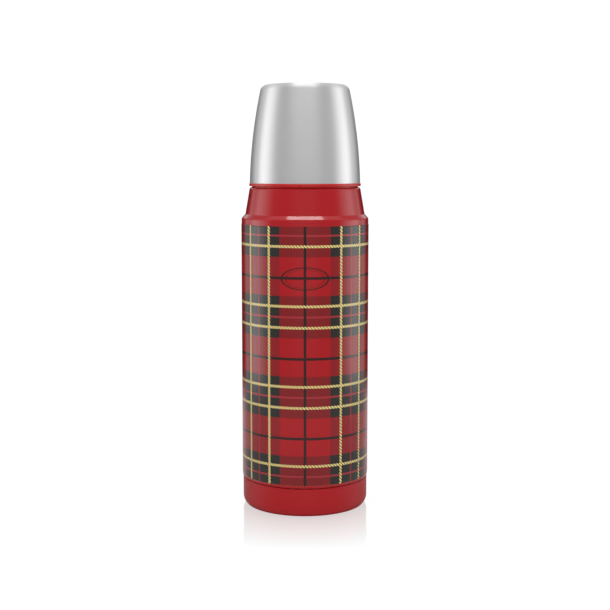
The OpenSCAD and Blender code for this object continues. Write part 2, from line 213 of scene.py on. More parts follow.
def setFloor():
    shape = bmesh.new()
    bmesh.ops.create_circle(shape, cap_ends=True, segments=96, radius=studio["floorRadius"])
    mesh = bpy.data.meshes.new("floor")
    shape.to_mesh(mesh)
    shape.free()
    floor = bpy.data.objects.new("floor", mesh)
    floor.location.z = cadLow.z
    bpy.context.scene.collection.objects.link(floor)
    material = bpy.data.materials.new("white floor")
    material.use_nodes = True
    tree = material.node_tree
    tree.nodes.clear()
    reach = addNode(tree, "ShaderNodeVectorMath", operation="LENGTH")
    tree.links.new(addNode(tree, "ShaderNodeTexCoord").outputs["Object"], reach.inputs[0])
    away = reach.outputs["Value"]
    shade = studio["floorShade"]
    matt = addNode(tree, "ShaderNodeBsdfDiffuse", {"Color": (shade, shade, shade, 1)})
    white = addNode(tree, "ShaderNodeEmission", {"Strength": studio["floorWhite"]})
    path = addNode(tree, "ShaderNodeLightPath")
    pale = mixShaders(tree, path.outputs["Is Camera Ray"], matt.outputs[0], white.outputs[0])
    gloss = addNode(tree, "ShaderNodeBsdfGlossy", {
        "Color": (1, 1, 1, 1), "Roughness": studio["floorRoughness"]})
    share = ranged(tree, away, studio["floorGloss"], 0, cadHigh.x, cadHigh.x + studio["glossReach"])
    clear = addNode(tree, "ShaderNodeBsdfTransparent")
    # glossy near the object, gone at the rim
    near = mixShaders(tree, share, pale, gloss.outputs[0])
    fadeFrom, fadeTo = (share * studio["floorRadius"] for share in studio["floorFade"])
    far = ranged(tree, away, 0, 1, fadeFrom, fadeTo, smooth=True)
    whole = mixShaders(tree, far, near, clear.outputs[0])
    tree.links.new(whole, addNode(tree, "ShaderNodeOutputMaterial").inputs[0])
    mesh.materials.append(material)


def setLights():
    width, depth = studio["topSize"]
    x, y, z = studio["topPlace"]
    addSoftbox("top softbox", (x, y, z), (x, y + 0.0001, 0), width, depth, studio["topRadiance"])
    size = studio["fillSize"]
    fill = addSoftbox("front fill", studio["fillPlace"], (0, 0, 0.12), size, size, studio["fillRadiance"])
    fill.visible_glossy = False


setCamera()
setRoom()
setFloor()
setLights()
bpy.context.scene.view_settings.view_transform = "Standard"
print("studio set")


# finishes

def tone(red, green, blue):
    # display colour 0-255 to a linear colour
    parts = [part / 255 for part in (red, green, blue)]
    linear = [p / 12.92 if p <= 0.04045 else ((p + 0.055) / 1.055) ** 2.4 for p in parts]
    return (linear[0], linear[1], linear[2], 1.0)


def newFinish(name, fixed):
    finish = bpy.data.materials.new(name)
    finish.use_nodes = True
    tree = finish.node_tree
    shader = tree.nodes["Principled BSDF"]
    for socket, value in fixed.items():
        shader.inputs[socket].default_value = value
    return finish, tree, shader


def noiseOn(tree, scale, detail=2.0, stretch=(1.0, 1.0, 1.0)):
    coords = addNode(tree, "ShaderNodeTexCoord")
    mapping = addNode(tree, "ShaderNodeMapping", {"Scale": stretch})
    texture = addNode(tree, "ShaderNodeTexNoise", {"Scale": scale, "Detail": detail})
    tree.links.new(coords.outputs["Object"], mapping.inputs["Vector"])
    tree.links.new(mapping.outputs["Vector"], texture.inputs["Vector"])
    return texture.outputs["Fac"]


def mixTone(tree, share, first, second):
    node = addNode(tree, "ShaderNodeMix", data_type="RGBA")
    for place, term in ((0, share), (6, first), (7, second)):
        feed(tree, term, node.inputs[place])
    return node.outputs[2]


def mottled(tree, colour, spread, scale):
    # the colour a little lighter and darker from place to place
    darker = tuple(part * (1 - spread) for part in colour[:3]) + (1.0,)
    lighter = tuple(min(1, part * (1 + spread)) for part in colour[:3]) + (1.0,)
    return mixTone(tree, ranged(tree, noiseOn(tree, scale, 3), 0, 1, 0.1, 0.9), darker, lighter)


def addBump(tree, shader, height, depth):
    bump = addNode(tree, "ShaderNodeBump", {"Strength": 1.0, "Distance": depth})
    tree.links.new(height, bump.inputs["Height"])
    tree.links.new(bump.outputs["Normal"], shader.inputs["Normal"])


def simpleFinish(name, colour, fixed, spread, mottleScale, roughness, grainScale, grainDepth):
    # colour with a soft mottle, roughness that wanders, and a fine surface grain
    finish, tree, shader = newFinish(name, fixed)
    tree.links.new(mottled(tree, colour, spread, mottleScale), shader.inputs["Base Color"])
    wander = ranged(tree, noiseOn(tree, mottleScale * 2.3), *roughness)
    tree.links.new(wander, shader.inputs["Roughness"])
    addBump(tree, shader, noiseOn(tree, grainScale, 3), grainDepth)
    return finish


# the paint and the print share one clear gloss
glossy = {"Specular IOR Level": 0.3, "Coat Weight": 0.5, "Coat Roughness": 0.1}


def addGloss(tree, shader):
    tree.links.new(ranged(tree, noiseOn(tree, 14), 0.22, 0.25, 0, 1), shader.inputs["Roughness"])
    addBump(tree, shader, noiseOn(tree, 900), 0.000004)


tartan = {
    "red": (170, 10, 20),
    "bandOnRed": (128, 18, 22),
    "uprightOnRed": (142, 18, 26),
    "charcoal": (38, 37, 34),
    "blackLine": (34, 20, 18),
    "redLine": (168, 44, 52),
    "cream": (252, 232, 150),
    "gold": (92, 48, 28),
    "repeatAngle": 90.0,
    "repeatHeight": 46.1,
    "bandHeight": 23.85,  # the lowest band's centre above the base
    "bandHalf": 12.0,
    "uprightHalf": 14.6,
    "goldAside": 6.1,
    "uprightGoldAside": 7.69,
    "goldHalf": 0.64,
    "redHalf": 0.55,
    "blackHalf": 0.78,
    "blackDrop": 0.85,
    "twill": 1.9,
    "emblemHeight": 137.9,
    "emblemSize": (13.6, 6.3),
    "emblemInner": 0.82,
}


def stripe(tree, distance, centre, half, soft=0.12):
    away = calc(tree, "ABSOLUTE", calc(tree, "SUBTRACT", distance, centre))
    inner = calc(tree, "SUBTRACT", half, soft) if not isinstance(half, (int, float)) else half - soft
    outer = calc(tree, "ADD", half, soft) if not isinstance(half, (int, float)) else half + soft
    return ranged(tree, away, 1, 0, inner, outer, smooth=True)


def emblem(tree, around, height):
    # a plain oval ring with a finer one inside it
    wide, tall = tartan["emblemSize"]
    rise = calc(tree, "SUBTRACT", height, tartan["emblemHeight"])
    flat = calc(tree, "POWER", calc(tree, "DIVIDE", calc(tree, "ABSOLUTE", around), wide), 2)
    upright = calc(tree, "POWER", calc(tree, "DIVIDE", calc(tree, "ABSOLUTE", rise), tall), 2)
    reach = calc(tree, "SQRT", calc(tree, "ADD", flat, upright))
    inner = calc(tree, "MULTIPLY", stripe(tree, reach, tartan["emblemInner"], 0.02, 0.012), 0.8)
    return calc(tree, "MAXIMUM", stripe(tree, reach, 1, 0.045, 0.012), inner)


def makeTartan():
    finish, tree, shader = newFinish("tartan print", glossy)
    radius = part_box("body_wrap")[1].x / mm
    x, y, z = split(tree, addNode(tree, "ShaderNodeTexCoord").outputs["Object"])
    turn = calc(tree, "ARCTAN2", x, calc(tree, "MULTIPLY", y, -1))
    around = calc(tree, "MULTIPLY", turn, radius)  # millimetres round the body from the front
    height = calc(tree, "DIVIDE", z, mm)
    sweep = math.radians(tartan["repeatAngle"]) * radius
    fromUpright = calc(tree, "SUBTRACT", around, sweep / 2)
    aside = calc(tree, "ABSOLUTE", calc(tree, "WRAP", fromUpright, sweep / 2, -sweep / 2))
    rise = calc(tree, "SUBTRACT", height, tartan["bandHeight"])
    half = tartan["repeatHeight"] / 2
    fromBand = calc(tree, "WRAP", rise, half, -half)
    level = calc(tree, "ABSOLUTE", fromBand)
    fromBlack = calc(tree, "ADD", calc(tree, "ADD", rise, tartan["blackDrop"]), half)
    blackAway = calc(tree, "ABSOLUTE", calc(tree, "WRAP", fromBlack, half, -half))

    # diagonal twill, read along the print
    diagonal = calc(tree, "DIVIDE", calc(tree, "ADD", around, height), tartan["twill"])
    wave = calc(tree, "SINE", calc(tree, "MULTIPLY", diagonal, 2 * math.pi))
    fine = calc(tree, "SINE", calc(tree, "MULTIPLY", diagonal, 2 * math.pi * 3.0))

    upright = stripe(tree, aside, 0, tartan["uprightHalf"])
    band = stripe(tree, level, 0, tartan["bandHalf"])
    red = mottled(tree, tone(*tartan["red"]), 0.03, 9)
    colour = mixTone(tree, upright, red, tone(*tartan["uprightOnRed"]))
    onBand = mixTone(tree, upright, tone(*tartan["bandOnRed"]), tone(*tartan["charcoal"]))
    colour = mixTone(tree, band, colour, onBand)
    weave = ranged(tree, fine, 0.93, 1.07, -1, 1)
    share = calc(tree, "MAXIMUM", upright, band)
    shade = addNode(tree, "ShaderNodeMix", data_type="RGBA", blend_type="MULTIPLY")
    feed(tree, share, shade.inputs[0])
    feed(tree, colour, shade.inputs[6])
    grey = addNode(tree, "ShaderNodeCombineColor")
    for channel in grey.inputs:
        tree.links.new(weave, channel)
    feed(tree, grey.outputs[0], shade.inputs[7])
    colour = shade.outputs[2]

    # thin lines, then the gold ones over everything
    redUpright = calc(tree, "MULTIPLY", stripe(tree, aside, 0, tartan["redHalf"]), 0.55)
    redLevel = calc(tree, "MULTIPLY", stripe(tree, level, 0, tartan["redHalf"]), 0.85)
    colour = mixTone(tree, calc(tree, "MAXIMUM", redUpright, redLevel), colour, tone(*tartan["redLine"]))
    black = calc(tree, "MAXIMUM", stripe(tree, aside, sweep / 2, tartan["blackHalf"]),
                 stripe(tree, blackAway, 0, tartan["blackHalf"]))
    colour = mixTone(tree, calc(tree, "MULTIPLY", black, 0.95), colour, tone(*tartan["blackLine"]))
    edge = calc(tree, "MULTIPLY_ADD", wave, 0.18, tartan["goldHalf"])
    gold = calc(tree, "MAXIMUM", stripe(tree, aside, tartan["uprightGoldAside"], edge),
                stripe(tree, level, tartan["goldAside"], edge))
    light = ranged(tree, wave, 0, 1, -0.75, 0.2)
    thread = mixTone(tree, light, tone(*tartan["gold"]), tone(*tartan["cream"]))
    colour = mixTone(tree, gold, colour, thread)
    mark = calc(tree, "MULTIPLY", emblem(tree, around, height), 0.9)
    colour = mixTone(tree, mark, colour, tone(*tartan["blackLine"]))
    tree.links.new(colour, shader.inputs["Base Color"])
    addGloss(tree, shader)
    return finish


def makePaint():
    finish, tree, shader = newFinish("red lacquer", glossy)
    tree.links.new(mottled(tree, tone(170, 12, 22), 0.03, 9), shader.inputs["Base Color"])
    addGloss(tree, shader)
    return finish


def makeBrushed(name, grey, metallic, roughness, spread, depth):
    # fine lines run round the piece, so lights draw out up and down it
    finish, tree, shader = newFinish(name, {
        "Metallic": metallic, "Anisotropic": spread, "Anisotropic Rotation": 0.25})
    lines = noiseOn(tree, 90, 4, (1.0, 1.0, 60.0))
    broad = noiseOn(tree, 40, 2, (1.0, 1.0, 0.1))
    level = calc(tree, "ADD", calc(tree, "MULTIPLY", lines, 0.5), calc(tree, "MULTIPLY", broad, 0.5))
    low = tuple(part * 0.96 for part in grey) + (1.0,)
    high = tuple(part * 1.04 for part in grey) + (1.0,)
    tree.links.new(mixTone(tree, ranged(tree, level, 0, 1, 0.2, 0.8), low, high), shader.inputs["Base Color"])
    tree.links.new(ranged(tree, lines, roughness - 0.02, roughness + 0.02), shader.inputs["Roughness"])
    tangent = addNode(tree, "ShaderNodeTangent", direction_type="RADIAL", axis="Z")
    tree.links.new(tangent.outputs[0], shader.inputs["Tangent"])
    addBump(tree, shader, lines, depth)
    return finish


silicone = {"IOR": 1.41, "Subsurface Weight": 0.25, "Subsurface Radius": (0.003, 0.003, 0.003)}
moulded = {"IOR": 1.5}
metal = {"Metallic": 1.0}

# name, colour, fixed values, mottle and its scale, roughness, grain's scale and depth in metres
simpleFinishes = {
    "boot": ("red boot plastic", tone(172, 14, 22), {"IOR": 1.5, "Specular IOR Level": 0.42},
             0.03, 20, (0.36, 0.42), 1500, 0.000006),
    "moulded": ("moulded red plastic", tone(190, 28, 26), moulded, 0.03, 20, (0.26, 0.3), 1500, 0.000004),
    "stopper": ("black stopper plastic", tone(34, 34, 36), moulded, 0.15, 60, (0.42, 0.52), 2200, 0.00004),
    "silicone": ("silicone", tone(214, 211, 203), silicone, 0.04, 80, (0.45, 0.55), 1200, 0.00002),
    "rubber": ("pad rubber", tone(38, 37, 37), moulded, 0.2, 300, (0.62, 0.75), 1800, 0.00006),
    "foam": ("foam", tone(228, 222, 204), {}, 0.08, 500, (0.85, 0.95), 1400, 0.00025),
    "foil": ("radiation foil", tone(205, 206, 208), metal, 0.05, 120, (0.18, 0.3), 260, 0.00015),
    "getter": ("getter metal", tone(128, 126, 122), metal, 0.15, 700, (0.5, 0.7), 2500, 0.00005),
    "solder": ("glass solder", tone(92, 96, 98), {"IOR": 1.55}, 0.12, 500, (0.15, 0.3), 900, 0.00004),
}
finishes = {
    "lacquer": makePaint(),
    "tartan": makeTartan(),
    "cupSteel": makeBrushed("brushed cup steel", (0.8, 0.8, 0.805), 0.75, 0.46, 0.92, 0.0000005),
    "vesselSteel": makeBrushed("satin vessel steel", (0.56, 0.56, 0.55), 1.0, 0.4, 0.6, 0.000002),
}
for slotName, values in simpleFinishes.items():
    finishes[slotName] = simpleFinish(*values)
print("finishes made:", len(finishes))


# geometry trees

def newShapeTree(name, inputs):
    tree = bpy.data.node_groups.new(name, "GeometryNodeTree")
    tree.interface.new_socket("Geometry", in_out="INPUT", socket_type="NodeSocketGeometry")
    for label, kind, value in inputs:
        socket = tree.interface.new_socket(label, in_out="INPUT", socket_type=kind)
        if value is not None:
            socket.default_value = value
    tree.interface.new_socket("Geometry", in_out="OUTPUT", socket_type="NodeSocketGeometry")
    given = tree.nodes.new("NodeGroupInput").outputs
    return tree, given, tree.nodes.new("NodeGroupOutput").inputs[0]


def chain(tree, first, *nodes):
    # runs the geometry through the nodes in turn and returns the last output
    for node in nodes:
        tree.links.new(first, node.inputs[0])
        first = node.outputs[0]
    return first


def dress(tree, given, last, result):
    # every tree ends the same way: plain geometry with its finish
    real = addNode(tree, "GeometryNodeRealizeInstances")
    paint = addNode(tree, "GeometryNodeSetMaterial")
    tree.links.new(given["Material"], paint.inputs["Material"])
    tree.links.new(chain(tree, last, real, paint), result)


def roundedOutline(tree, given, count):
    outline = addNode(tree, "GeometryNodeMeshToCurve")
    fillet = addNode(tree, "GeometryNodeFilletCurve", {"Limit Radius": True}, mode="POLY")
    rounding = addNode(tree, "GeometryNodeInputNamedAttribute", {"Name": "rounding"}, data_type="FLOAT")
    tree.links.new(rounding.outputs[0], fillet.inputs["Radius"])
    feed(tree, count, fillet.inputs["Count"])
    return chain(tree, given["Geometry"], outline, fillet)


def unrolledMap(tree, captured):
    # one turn of the piece across the map, the length of the outline up it
    place = addNode(tree, "GeometryNodeInputPosition").outputs[0]
    middle = addNode(tree, "GeometryNodeFieldOnDomain", domain="FACE", data_type="FLOAT_VECTOR")
    tree.links.new(place, middle.inputs[0])
    turns = []
    for point in (place, middle.outputs[0]):
        x, y = split(tree, point)[:2]
        angle = calc(tree, "ARCTAN2", y, x)
        turns.append(calc(tree, "DIVIDE", angle, 2 * math.pi))
    swing = calc(tree, "WRAP", calc(tree, "SUBTRACT", turns[0], turns[1]), 0.5, -0.5)
    across = calc(tree, "ADD", calc(tree, "ADD", turns[1], swing), 0.5)
    along, total = captured
    mean = addNode(tree, "GeometryNodeFieldOnDomain", domain="FACE", data_type="FLOAT")
    tree.links.new(along, mean.inputs[0])
    start = calc(tree, "LESS_THAN", along, 0.0000001)
    far = calc(tree, "GREATER_THAN", mean.outputs[0], calc(tree, "MULTIPLY", total, 0.25))
    whole = calc(tree, "MULTIPLY", calc(tree, "MULTIPLY", start, far), total)
    up = calc(tree, "DIVIDE", calc(tree, "ADD", along, whole), total)
    store = addNode(tree, "GeometryNodeStoreNamedAttribute", {"Name": "OFBake"},
                    data_type="FLOAT2", domain="CORNER")
    tree.links.new(combine(tree, across, up), store.inputs["Value"])
    return store


def makeTurnedTree():
    tree, given, result = newShapeTree("turned piece", [
        ("Segments", "NodeSocketInt", 192),
        ("Rounding Points", "NodeSocketInt", 6),
        ("Hub", "NodeSocketFloat", 0.02),
        ("Material", "NodeSocketMaterial", None)])
    capture = addNode(tree, "GeometryNodeCaptureAttribute")
    capture.capture_items.new("FLOAT", "Along")
    capture.capture_items.new("FLOAT", "Total")
    tree.links.new(addNode(tree, "GeometryNodeSplineParameter").outputs["Length"], capture.inputs[1])
    tree.links.new(addNode(tree, "GeometryNodeSplineLength").outputs["Length"], capture.inputs[2])
    # the outline stands on edge, with its axis moved to the hub's rim
    x, y, z = split(tree, addNode(tree, "GeometryNodeInputPosition").outputs[0])
    laid = combine(tree, calc(tree, "SUBTRACT", x, given["Hub"]), calc(tree, "MULTIPLY", z, -1))
    lay = addNode(tree, "GeometryNodeSetPosition")
    tree.links.new(laid, lay.inputs["Position"])
    profile = chain(tree, roundedOutline(tree, given, given["Rounding Points"]), capture, lay)
    circle = addNode(tree, "GeometryNodeCurvePrimitiveCircle")
    tree.links.new(given["Segments"], circle.inputs["Resolution"])
    tree.links.new(given["Hub"], circle.inputs["Radius"])
    sweep = addNode(tree, "GeometryNodeCurveToMesh")
    tree.links.new(circle.outputs[0], sweep.inputs["Curve"])
    tree.links.new(profile, sweep.inputs["Profile Curve"])
    weld = addNode(tree, "GeometryNodeMergeByDistance", {"Distance": 0.000002})
    mapped = unrolledMap(tree, (capture.outputs[1], capture.outputs[2]))
    smooth = addNode(tree, "GeometryNodeSetShadeSmooth")
    dress(tree, given, chain(tree, sweep.outputs[0], weld, mapped, smooth), result)
    return tree


def onCircle(tree, angle, radius, height):
    x = calc(tree, "MULTIPLY", calc(tree, "COSINE", angle), radius)
    y = calc(tree, "MULTIPLY", calc(tree, "SINE", angle), radius)
    return combine(tree, x, y, height)


def shareOfTurn(tree, count):
    # each point's own share of one turn, from its number
    spot = addNode(tree, "GeometryNodeInputIndex").outputs[0]
    return calc(tree, "DIVIDE", calc(tree, "MULTIPLY", spot, 2 * math.pi), count)


def makeRidgeTree():
    # helical thread ridges: a closed section carried up a helix, shrunk away at both ends
    tree, given, result = newShapeTree("thread ridges", [
        ("Root Radius", "NodeSocketFloat", 0.02),
        ("Lead", "NodeSocketFloat", 0.006),
        ("Turns", "NodeSocketFloat", 1.0),
        ("Start Height", "NodeSocketFloat", 0.0),
        ("Starts", "NodeSocketInt", 2),
        ("Points", "NodeSocketInt", 96),
        ("Fade", "NodeSocketFloat", 0.12),
        ("Material", "NodeSocketMaterial", None)])
    line = addNode(tree, "GeometryNodeCurvePrimitiveLine")
    resample = addNode(tree, "GeometryNodeResampleCurve")
    tree.links.new(given["Points"], resample.inputs["Count"])
    along = addNode(tree, "GeometryNodeSplineParameter").outputs["Factor"]
    turn = calc(tree, "MULTIPLY", calc(tree, "MULTIPLY", along, given["Turns"]), 2 * math.pi)
    climb = calc(tree, "MULTIPLY", calc(tree, "MULTIPLY", along, given["Turns"]), given["Lead"])
    height = calc(tree, "ADD", climb, given["Start Height"])
    bend = addNode(tree, "GeometryNodeSetPosition")
    tree.links.new(onCircle(tree, turn, given["Root Radius"], height), bend.inputs["Position"])
    normal = addNode(tree, "GeometryNodeSetCurveNormal", mode="Z_UP")
    rest = calc(tree, "SUBTRACT", 1, along)
    fade = calc(tree, "DIVIDE", calc(tree, "MINIMUM", along, rest), given["Fade"])
    grown = calc(tree, "SINE", calc(tree, "MULTIPLY", calc(tree, "MINIMUM", fade, 1), math.pi / 2))
    size = calc(tree, "MAXIMUM", grown, 0.06)
    sweep = addNode(tree, "GeometryNodeCurveToMesh", {"Fill Caps": True})
    tree.links.new(chain(tree, line.outputs[0], resample, bend, normal), sweep.inputs["Curve"])
    tree.links.new(roundedOutline(tree, given, 3), sweep.inputs["Profile Curve"])
    tree.links.new(size, sweep.inputs["Scale"])
    points = addNode(tree, "GeometryNodePoints")
    tree.links.new(given["Starts"], points.inputs["Count"])
    spin = combine(tree, 0.0, 0.0, shareOfTurn(tree, given["Starts"]))
    copies = addNode(tree, "GeometryNodeInstanceOnPoints")
    tree.links.new(points.outputs[0], copies.inputs["Points"])
    tree.links.new(sweep.outputs[0], copies.inputs["Instance"])
    tree.links.new(spin, copies.inputs["Rotation"])
    real = addNode(tree, "GeometryNodeRealizeInstances")
    smooth = addNode(tree, "GeometryNodeSetShadeSmooth")
    dress(tree, given, chain(tree, copies.outputs[0], real, smooth), result)
    return tree


def makeGripTree():
    # upright ribs with domed ends, set round the stopper's head
    tree, given, result = newShapeTree("grip ribs", [
        ("Count", "NodeSocketInt", 30),
        ("Ring Radius", "NodeSocketFloat", 0.023),
        ("Rib Radius", "NodeSocketFloat", 0.0009),
        ("Low", "NodeSocketFloat", 0.0),
        ("High", "NodeSocketFloat", 0.01),
        ("Material", "NodeSocketMaterial", None)])
    line = addNode(tree, "GeometryNodeCurvePrimitiveLine")
    tree.links.new(combine(tree, 0.0, 0.0, given["Low"]), line.inputs["Start"])
    tree.links.new(combine(tree, 0.0, 0.0, given["High"]), line.inputs["End"])
    resample = addNode(tree, "GeometryNodeResampleCurve", {"Count": 17})
    along = addNode(tree, "GeometryNodeSplineParameter").outputs["Factor"]
    rest = calc(tree, "SUBTRACT", 1, along)
    near = calc(tree, "MINIMUM", calc(tree, "MULTIPLY", calc(tree, "MINIMUM", along, rest), 9), 1)
    fromFull = calc(tree, "POWER", calc(tree, "SUBTRACT", 1, near), 2)
    dome = calc(tree, "SQRT", calc(tree, "SUBTRACT", 1, fromFull))
    circle = addNode(tree, "GeometryNodeCurvePrimitiveCircle", {"Resolution": 14})
    tree.links.new(given["Rib Radius"], circle.inputs["Radius"])
    sweep = addNode(tree, "GeometryNodeCurveToMesh", {"Fill Caps": True})
    tree.links.new(chain(tree, line.outputs[0], resample), sweep.inputs["Curve"])
    tree.links.new(circle.outputs[0], sweep.inputs["Profile Curve"])
    tree.links.new(calc(tree, "MAXIMUM", dome, 0.2), sweep.inputs["Scale"])
    place = onCircle(tree, shareOfTurn(tree, given["Count"]), given["Ring Radius"], 0.0)
    points = addNode(tree, "GeometryNodePoints")
    tree.links.new(given["Count"], points.inputs["Count"])
    tree.links.new(place, points.inputs["Position"])
    copies = addNode(tree, "GeometryNodeInstanceOnPoints")
    tree.links.new(points.outputs[0], copies.inputs["Points"])
    tree.links.new(sweep.outputs[0], copies.inputs["Instance"])
    real = addNode(tree, "GeometryNodeRealizeInstances")
    smooth = addNode(tree, "GeometryNodeSetShadeSmooth")
    dress(tree, given, chain(tree, copies.outputs[0], real, smooth), result)
    return tree


turnedTree = makeTurnedTree()
ridgeTree = makeRidgeTree()
gripTree = makeGripTree()


def outlineMesh(name, places, points, closed):
    # each point's third value, where it has one, is its corner's rounding in millimetres
    mesh = bpy.data.meshes.new(name)
    edges = [(spot, spot + 1) for spot in range(len(points) - 1)]
    if closed:
        edges.append((len(points) - 1, 0))
    mesh.from_pydata(places, edges, [])
    rounding = mesh.attributes.new("rounding", "FLOAT", "POINT")
    rounding.data.foreach_set("value", [(point[2] if len(point) > 2 else 0) * mm for point in points])
    return mesh


def grow(name, mesh, tree, values):
    piece = bpy.data.objects.new(name, mesh)
    modifier = piece.modifiers.new(tree.name, "NODES")
    modifier.node_group = tree
    for item in tree.interface.items_tree:
        if item.in_out == "INPUT" and item.name in values:
            modifier[item.identifier] = values[item.name]
    bpy.context.scene.collection.objects.link(piece)
    graph = bpy.context.evaluated_depsgraph_get()
    grown = bpy.data.meshes.new_from_object(piece.evaluated_get(graph))
    piece.modifiers.remove(modifier)
    piece.data = grown
    grown.name = name
    bpy.data.meshes.remove(mesh)
    return piece


def settle(piece, body, replaced=(), sharp=32):
    work = bmesh.new()
    work.from_mesh(piece.data)
    bmesh.ops.recalc_face_normals(work, faces=work.faces[:])
    work.to_mesh(piece.data)
    work.free()
    piece.data.set_sharp_from_angle(angle=math.radians(sharp))
    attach(piece, body)
    if replaced:
        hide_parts(*replaced)
    return piece


def turned(name, points, finish, closed=False, segments=192, rounding=6):
    # points are radius and height in millimetres, then the rounding if any
    mesh = outlineMesh(name, [(point[0] * mm, 0, point[1] * mm) for point in points], points, closed)
    return grow(name, mesh, turnedTree, {
        "Segments": segments, "Rounding Points": rounding, "Material": finishes[finish]})


ridgeShape = {
    "sink": 0.3,  # how far the root runs into the wall
    "rootExtra": 0.11,
    "flankLean": 0.38,
    "tipRound": 0.22,
    "fade": 0.12,  # share of the ridge that shrinks at each end
    "pointsPerTurn": 96,
}


def ridges(name, finish, sizes):
    # the section's x runs out from the wall, its y along the axis
    s = ridgeShape
    out = sizes["height"] * sizes["side"]
    sink = -s["sink"] * sizes["side"]
    root = sizes["width"] / 2 + s["rootExtra"]
    tip = sizes["width"] / 2 - s["flankLean"] * sizes["height"]
    points = [(sink, -root), (out, -tip, s["tipRound"]), (out, tip, s["tipRound"]), (sink, root)]
    mesh = outlineMesh(name, [(point[0] * mm, point[1] * mm, 0) for point in points], points, True)
    return grow(name, mesh, ridgeTree, {
        "Root Radius": sizes["root"] * mm, "Lead": sizes["lead"] * mm, "Turns": sizes["turns"],
        "Start Height": sizes["start"] * mm, "Starts": sizes["starts"], "Fade": s["fade"],
        "Points": int(s["pointsPerTurn"] * sizes["turns"]), "Material": finishes[finish]})


def arcPoints(centreX, centreZ, radius, fromAngle, toAngle, steps):
    angles = [math.radians(fromAngle + (toAngle - fromAngle) * step / steps) for step in range(steps + 1)]
    return [(centreX + radius * math.cos(a), centreZ + radius * math.sin(a)) for a in angles]


def span(node):
    # a node's outer radius, lowest and highest height in millimetres
    low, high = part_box(node)
    return high.x / mm, low.z / mm, high.z / mm


glueGap = 0.05

bodyR, wrapLow, wrapHigh = span("body_wrap")
shellR, shellLow, shellHigh = span("outer_shell")
bootR, bootLow, bootHigh = span("base_boot")
padR, padLow, padHigh = span("foot_pad")
ringFlangeR, collarZ = span("neck_thread_ring")[:2]
vesselOutR, vesselLow = span("inner_flask")[:2]
lipZ = span("inner_neck")[2]
rimR, rimZ, linerHigh = span("cup_liner")
cupHigh = span("cup_shell")[2]


# painted shell with its wrap, standing in the boot

bootSizes = {
    "roundHeight": 4.7,
    "roundIn": 2.17,
    "edgeRound": 0.5,
    "wall": 1.6,
    "floor": 2.5,
}

shellSizes = {
    "wall": 0.5,
    "seamGap": 0.3,
    "seamRound": 0.8,
    "bodyLength": 152.9,
    "shoulderRound": 2.17,
    "shoulderIn": 2.4,
    "creaseRound": 0.25,
    "collarLean": 9.66,  # degrees
    "collarRound": 1.6,
    "seamInnerRound": 0.3,
}


def makeShell():
    s = shellSizes
    t = s["wall"]
    lean = math.radians(s["collarLean"])
    collarR = bodyR - s["shoulderIn"]
    seamZ = bootHigh + s["seamGap"]
    bodyTop = seamZ + s["bodyLength"]
    shoulderZ = bodyTop + s["shoulderRound"] * (math.sqrt(2) - 1) + s["shoulderIn"]
    collarTopR = collarR - (collarZ - shoulderZ) * math.tan(lean)
    swageR = bootR - bootSizes["wall"] - glueGap
    cornerZ = bodyTop + s["shoulderRound"] * math.tan(math.radians(22.5))
    dip = t * math.tan(math.radians(22.5))
    outside = [
        (swageR, shellLow), (swageR, seamZ), (shellR, seamZ, s["seamRound"]),
        (shellR, cornerZ, s["shoulderRound"]), (collarR, shoulderZ, s["creaseRound"]),
        (collarTopR, collarZ, s["collarRound"]), (neckR, collarZ), (neckR, shellHigh)]
    inside = [
        (neckR - t, shellHigh), (neckR - t, collarZ - t),
        (collarTopR - t / math.cos(lean) + t * math.tan(lean), collarZ - t, s["collarRound"] - t),
        (collarR - t, shoulderZ - dip, s["creaseRound"]), (shellR - t, cornerZ - dip, s["shoulderRound"] - t),
        (shellR - t, seamZ + t, s["seamInnerRound"]), (swageR - t, seamZ + t), (swageR - t, shellLow)]
    piece = turned("paintedShell", outside + inside, "lacquer", closed=True, rounding=8)
    return settle(piece, "flask", ["outer_shell"])


def makeWrap():
    feather = 0.3
    points = [(bodyR, wrapLow + feather, 0.2), (bodyR, wrapHigh - feather, 0.2),
              (shellR, wrapHigh), (shellR, wrapLow)]
    piece = turned("tartanWrap", points, "tartan", closed=True, segments=256, rounding=2)
    return settle(piece, "flask", ["body_wrap"])


def makeBoot():
    s = bootSizes
    roundR = (s["roundIn"] ** 2 + s["roundHeight"] ** 2) / (2 * s["roundIn"])
    inner = bootR - s["wall"]
    start = -math.degrees(math.asin(s["roundHeight"] / roundR))
    foot = arcPoints(bootR - roundR, s["roundHeight"], roundR, start, 0, 14)
    points = [(0, padHigh), (padR + glueGap, padHigh), (padR + glueGap, bootLow, 0.25)]
    points += [(foot[0][0], foot[0][1], 0.3)] + foot[1:]
    points += [(bootR, bootHigh, s["edgeRound"]), (inner, bootHigh, 0.2)]
    points += [(inner, s["floor"]), (0, s["floor"])]
    piece = turned("baseBoot", points, "boot", rounding=5)
    return settle(piece, "flask", ["base_boot"])


padSizes = {
    "rings": 5,
    "ringGap": 3.4,
    "grooveWidth": 1.0,
    "grooveDepth": 0.45,
    "firstRing": 8.0,
}


def makePad():
    s = padSizes
    points = [(0, padLow)]
    for ring in range(s["rings"]):
        r = s["firstRing"] + ring * s["ringGap"]
        half = s["grooveWidth"] / 2
        points += [(r - half, padLow, 0.12), (r - half, padLow + s["grooveDepth"], 0.15),
                   (r + half, padLow + s["grooveDepth"], 0.15), (r + half, padLow, 0.12)]
    points += [(padR, padLow, 0.3), (padR, padHigh), (0, padHigh)]
    piece = turned("footPad", points, "rubber", segments=128, rounding=3)
    return settle(piece, "flask", ["foot_pad"])


# neck: steel vessel with the stopper's thread, and the ring that carries the cup's thread

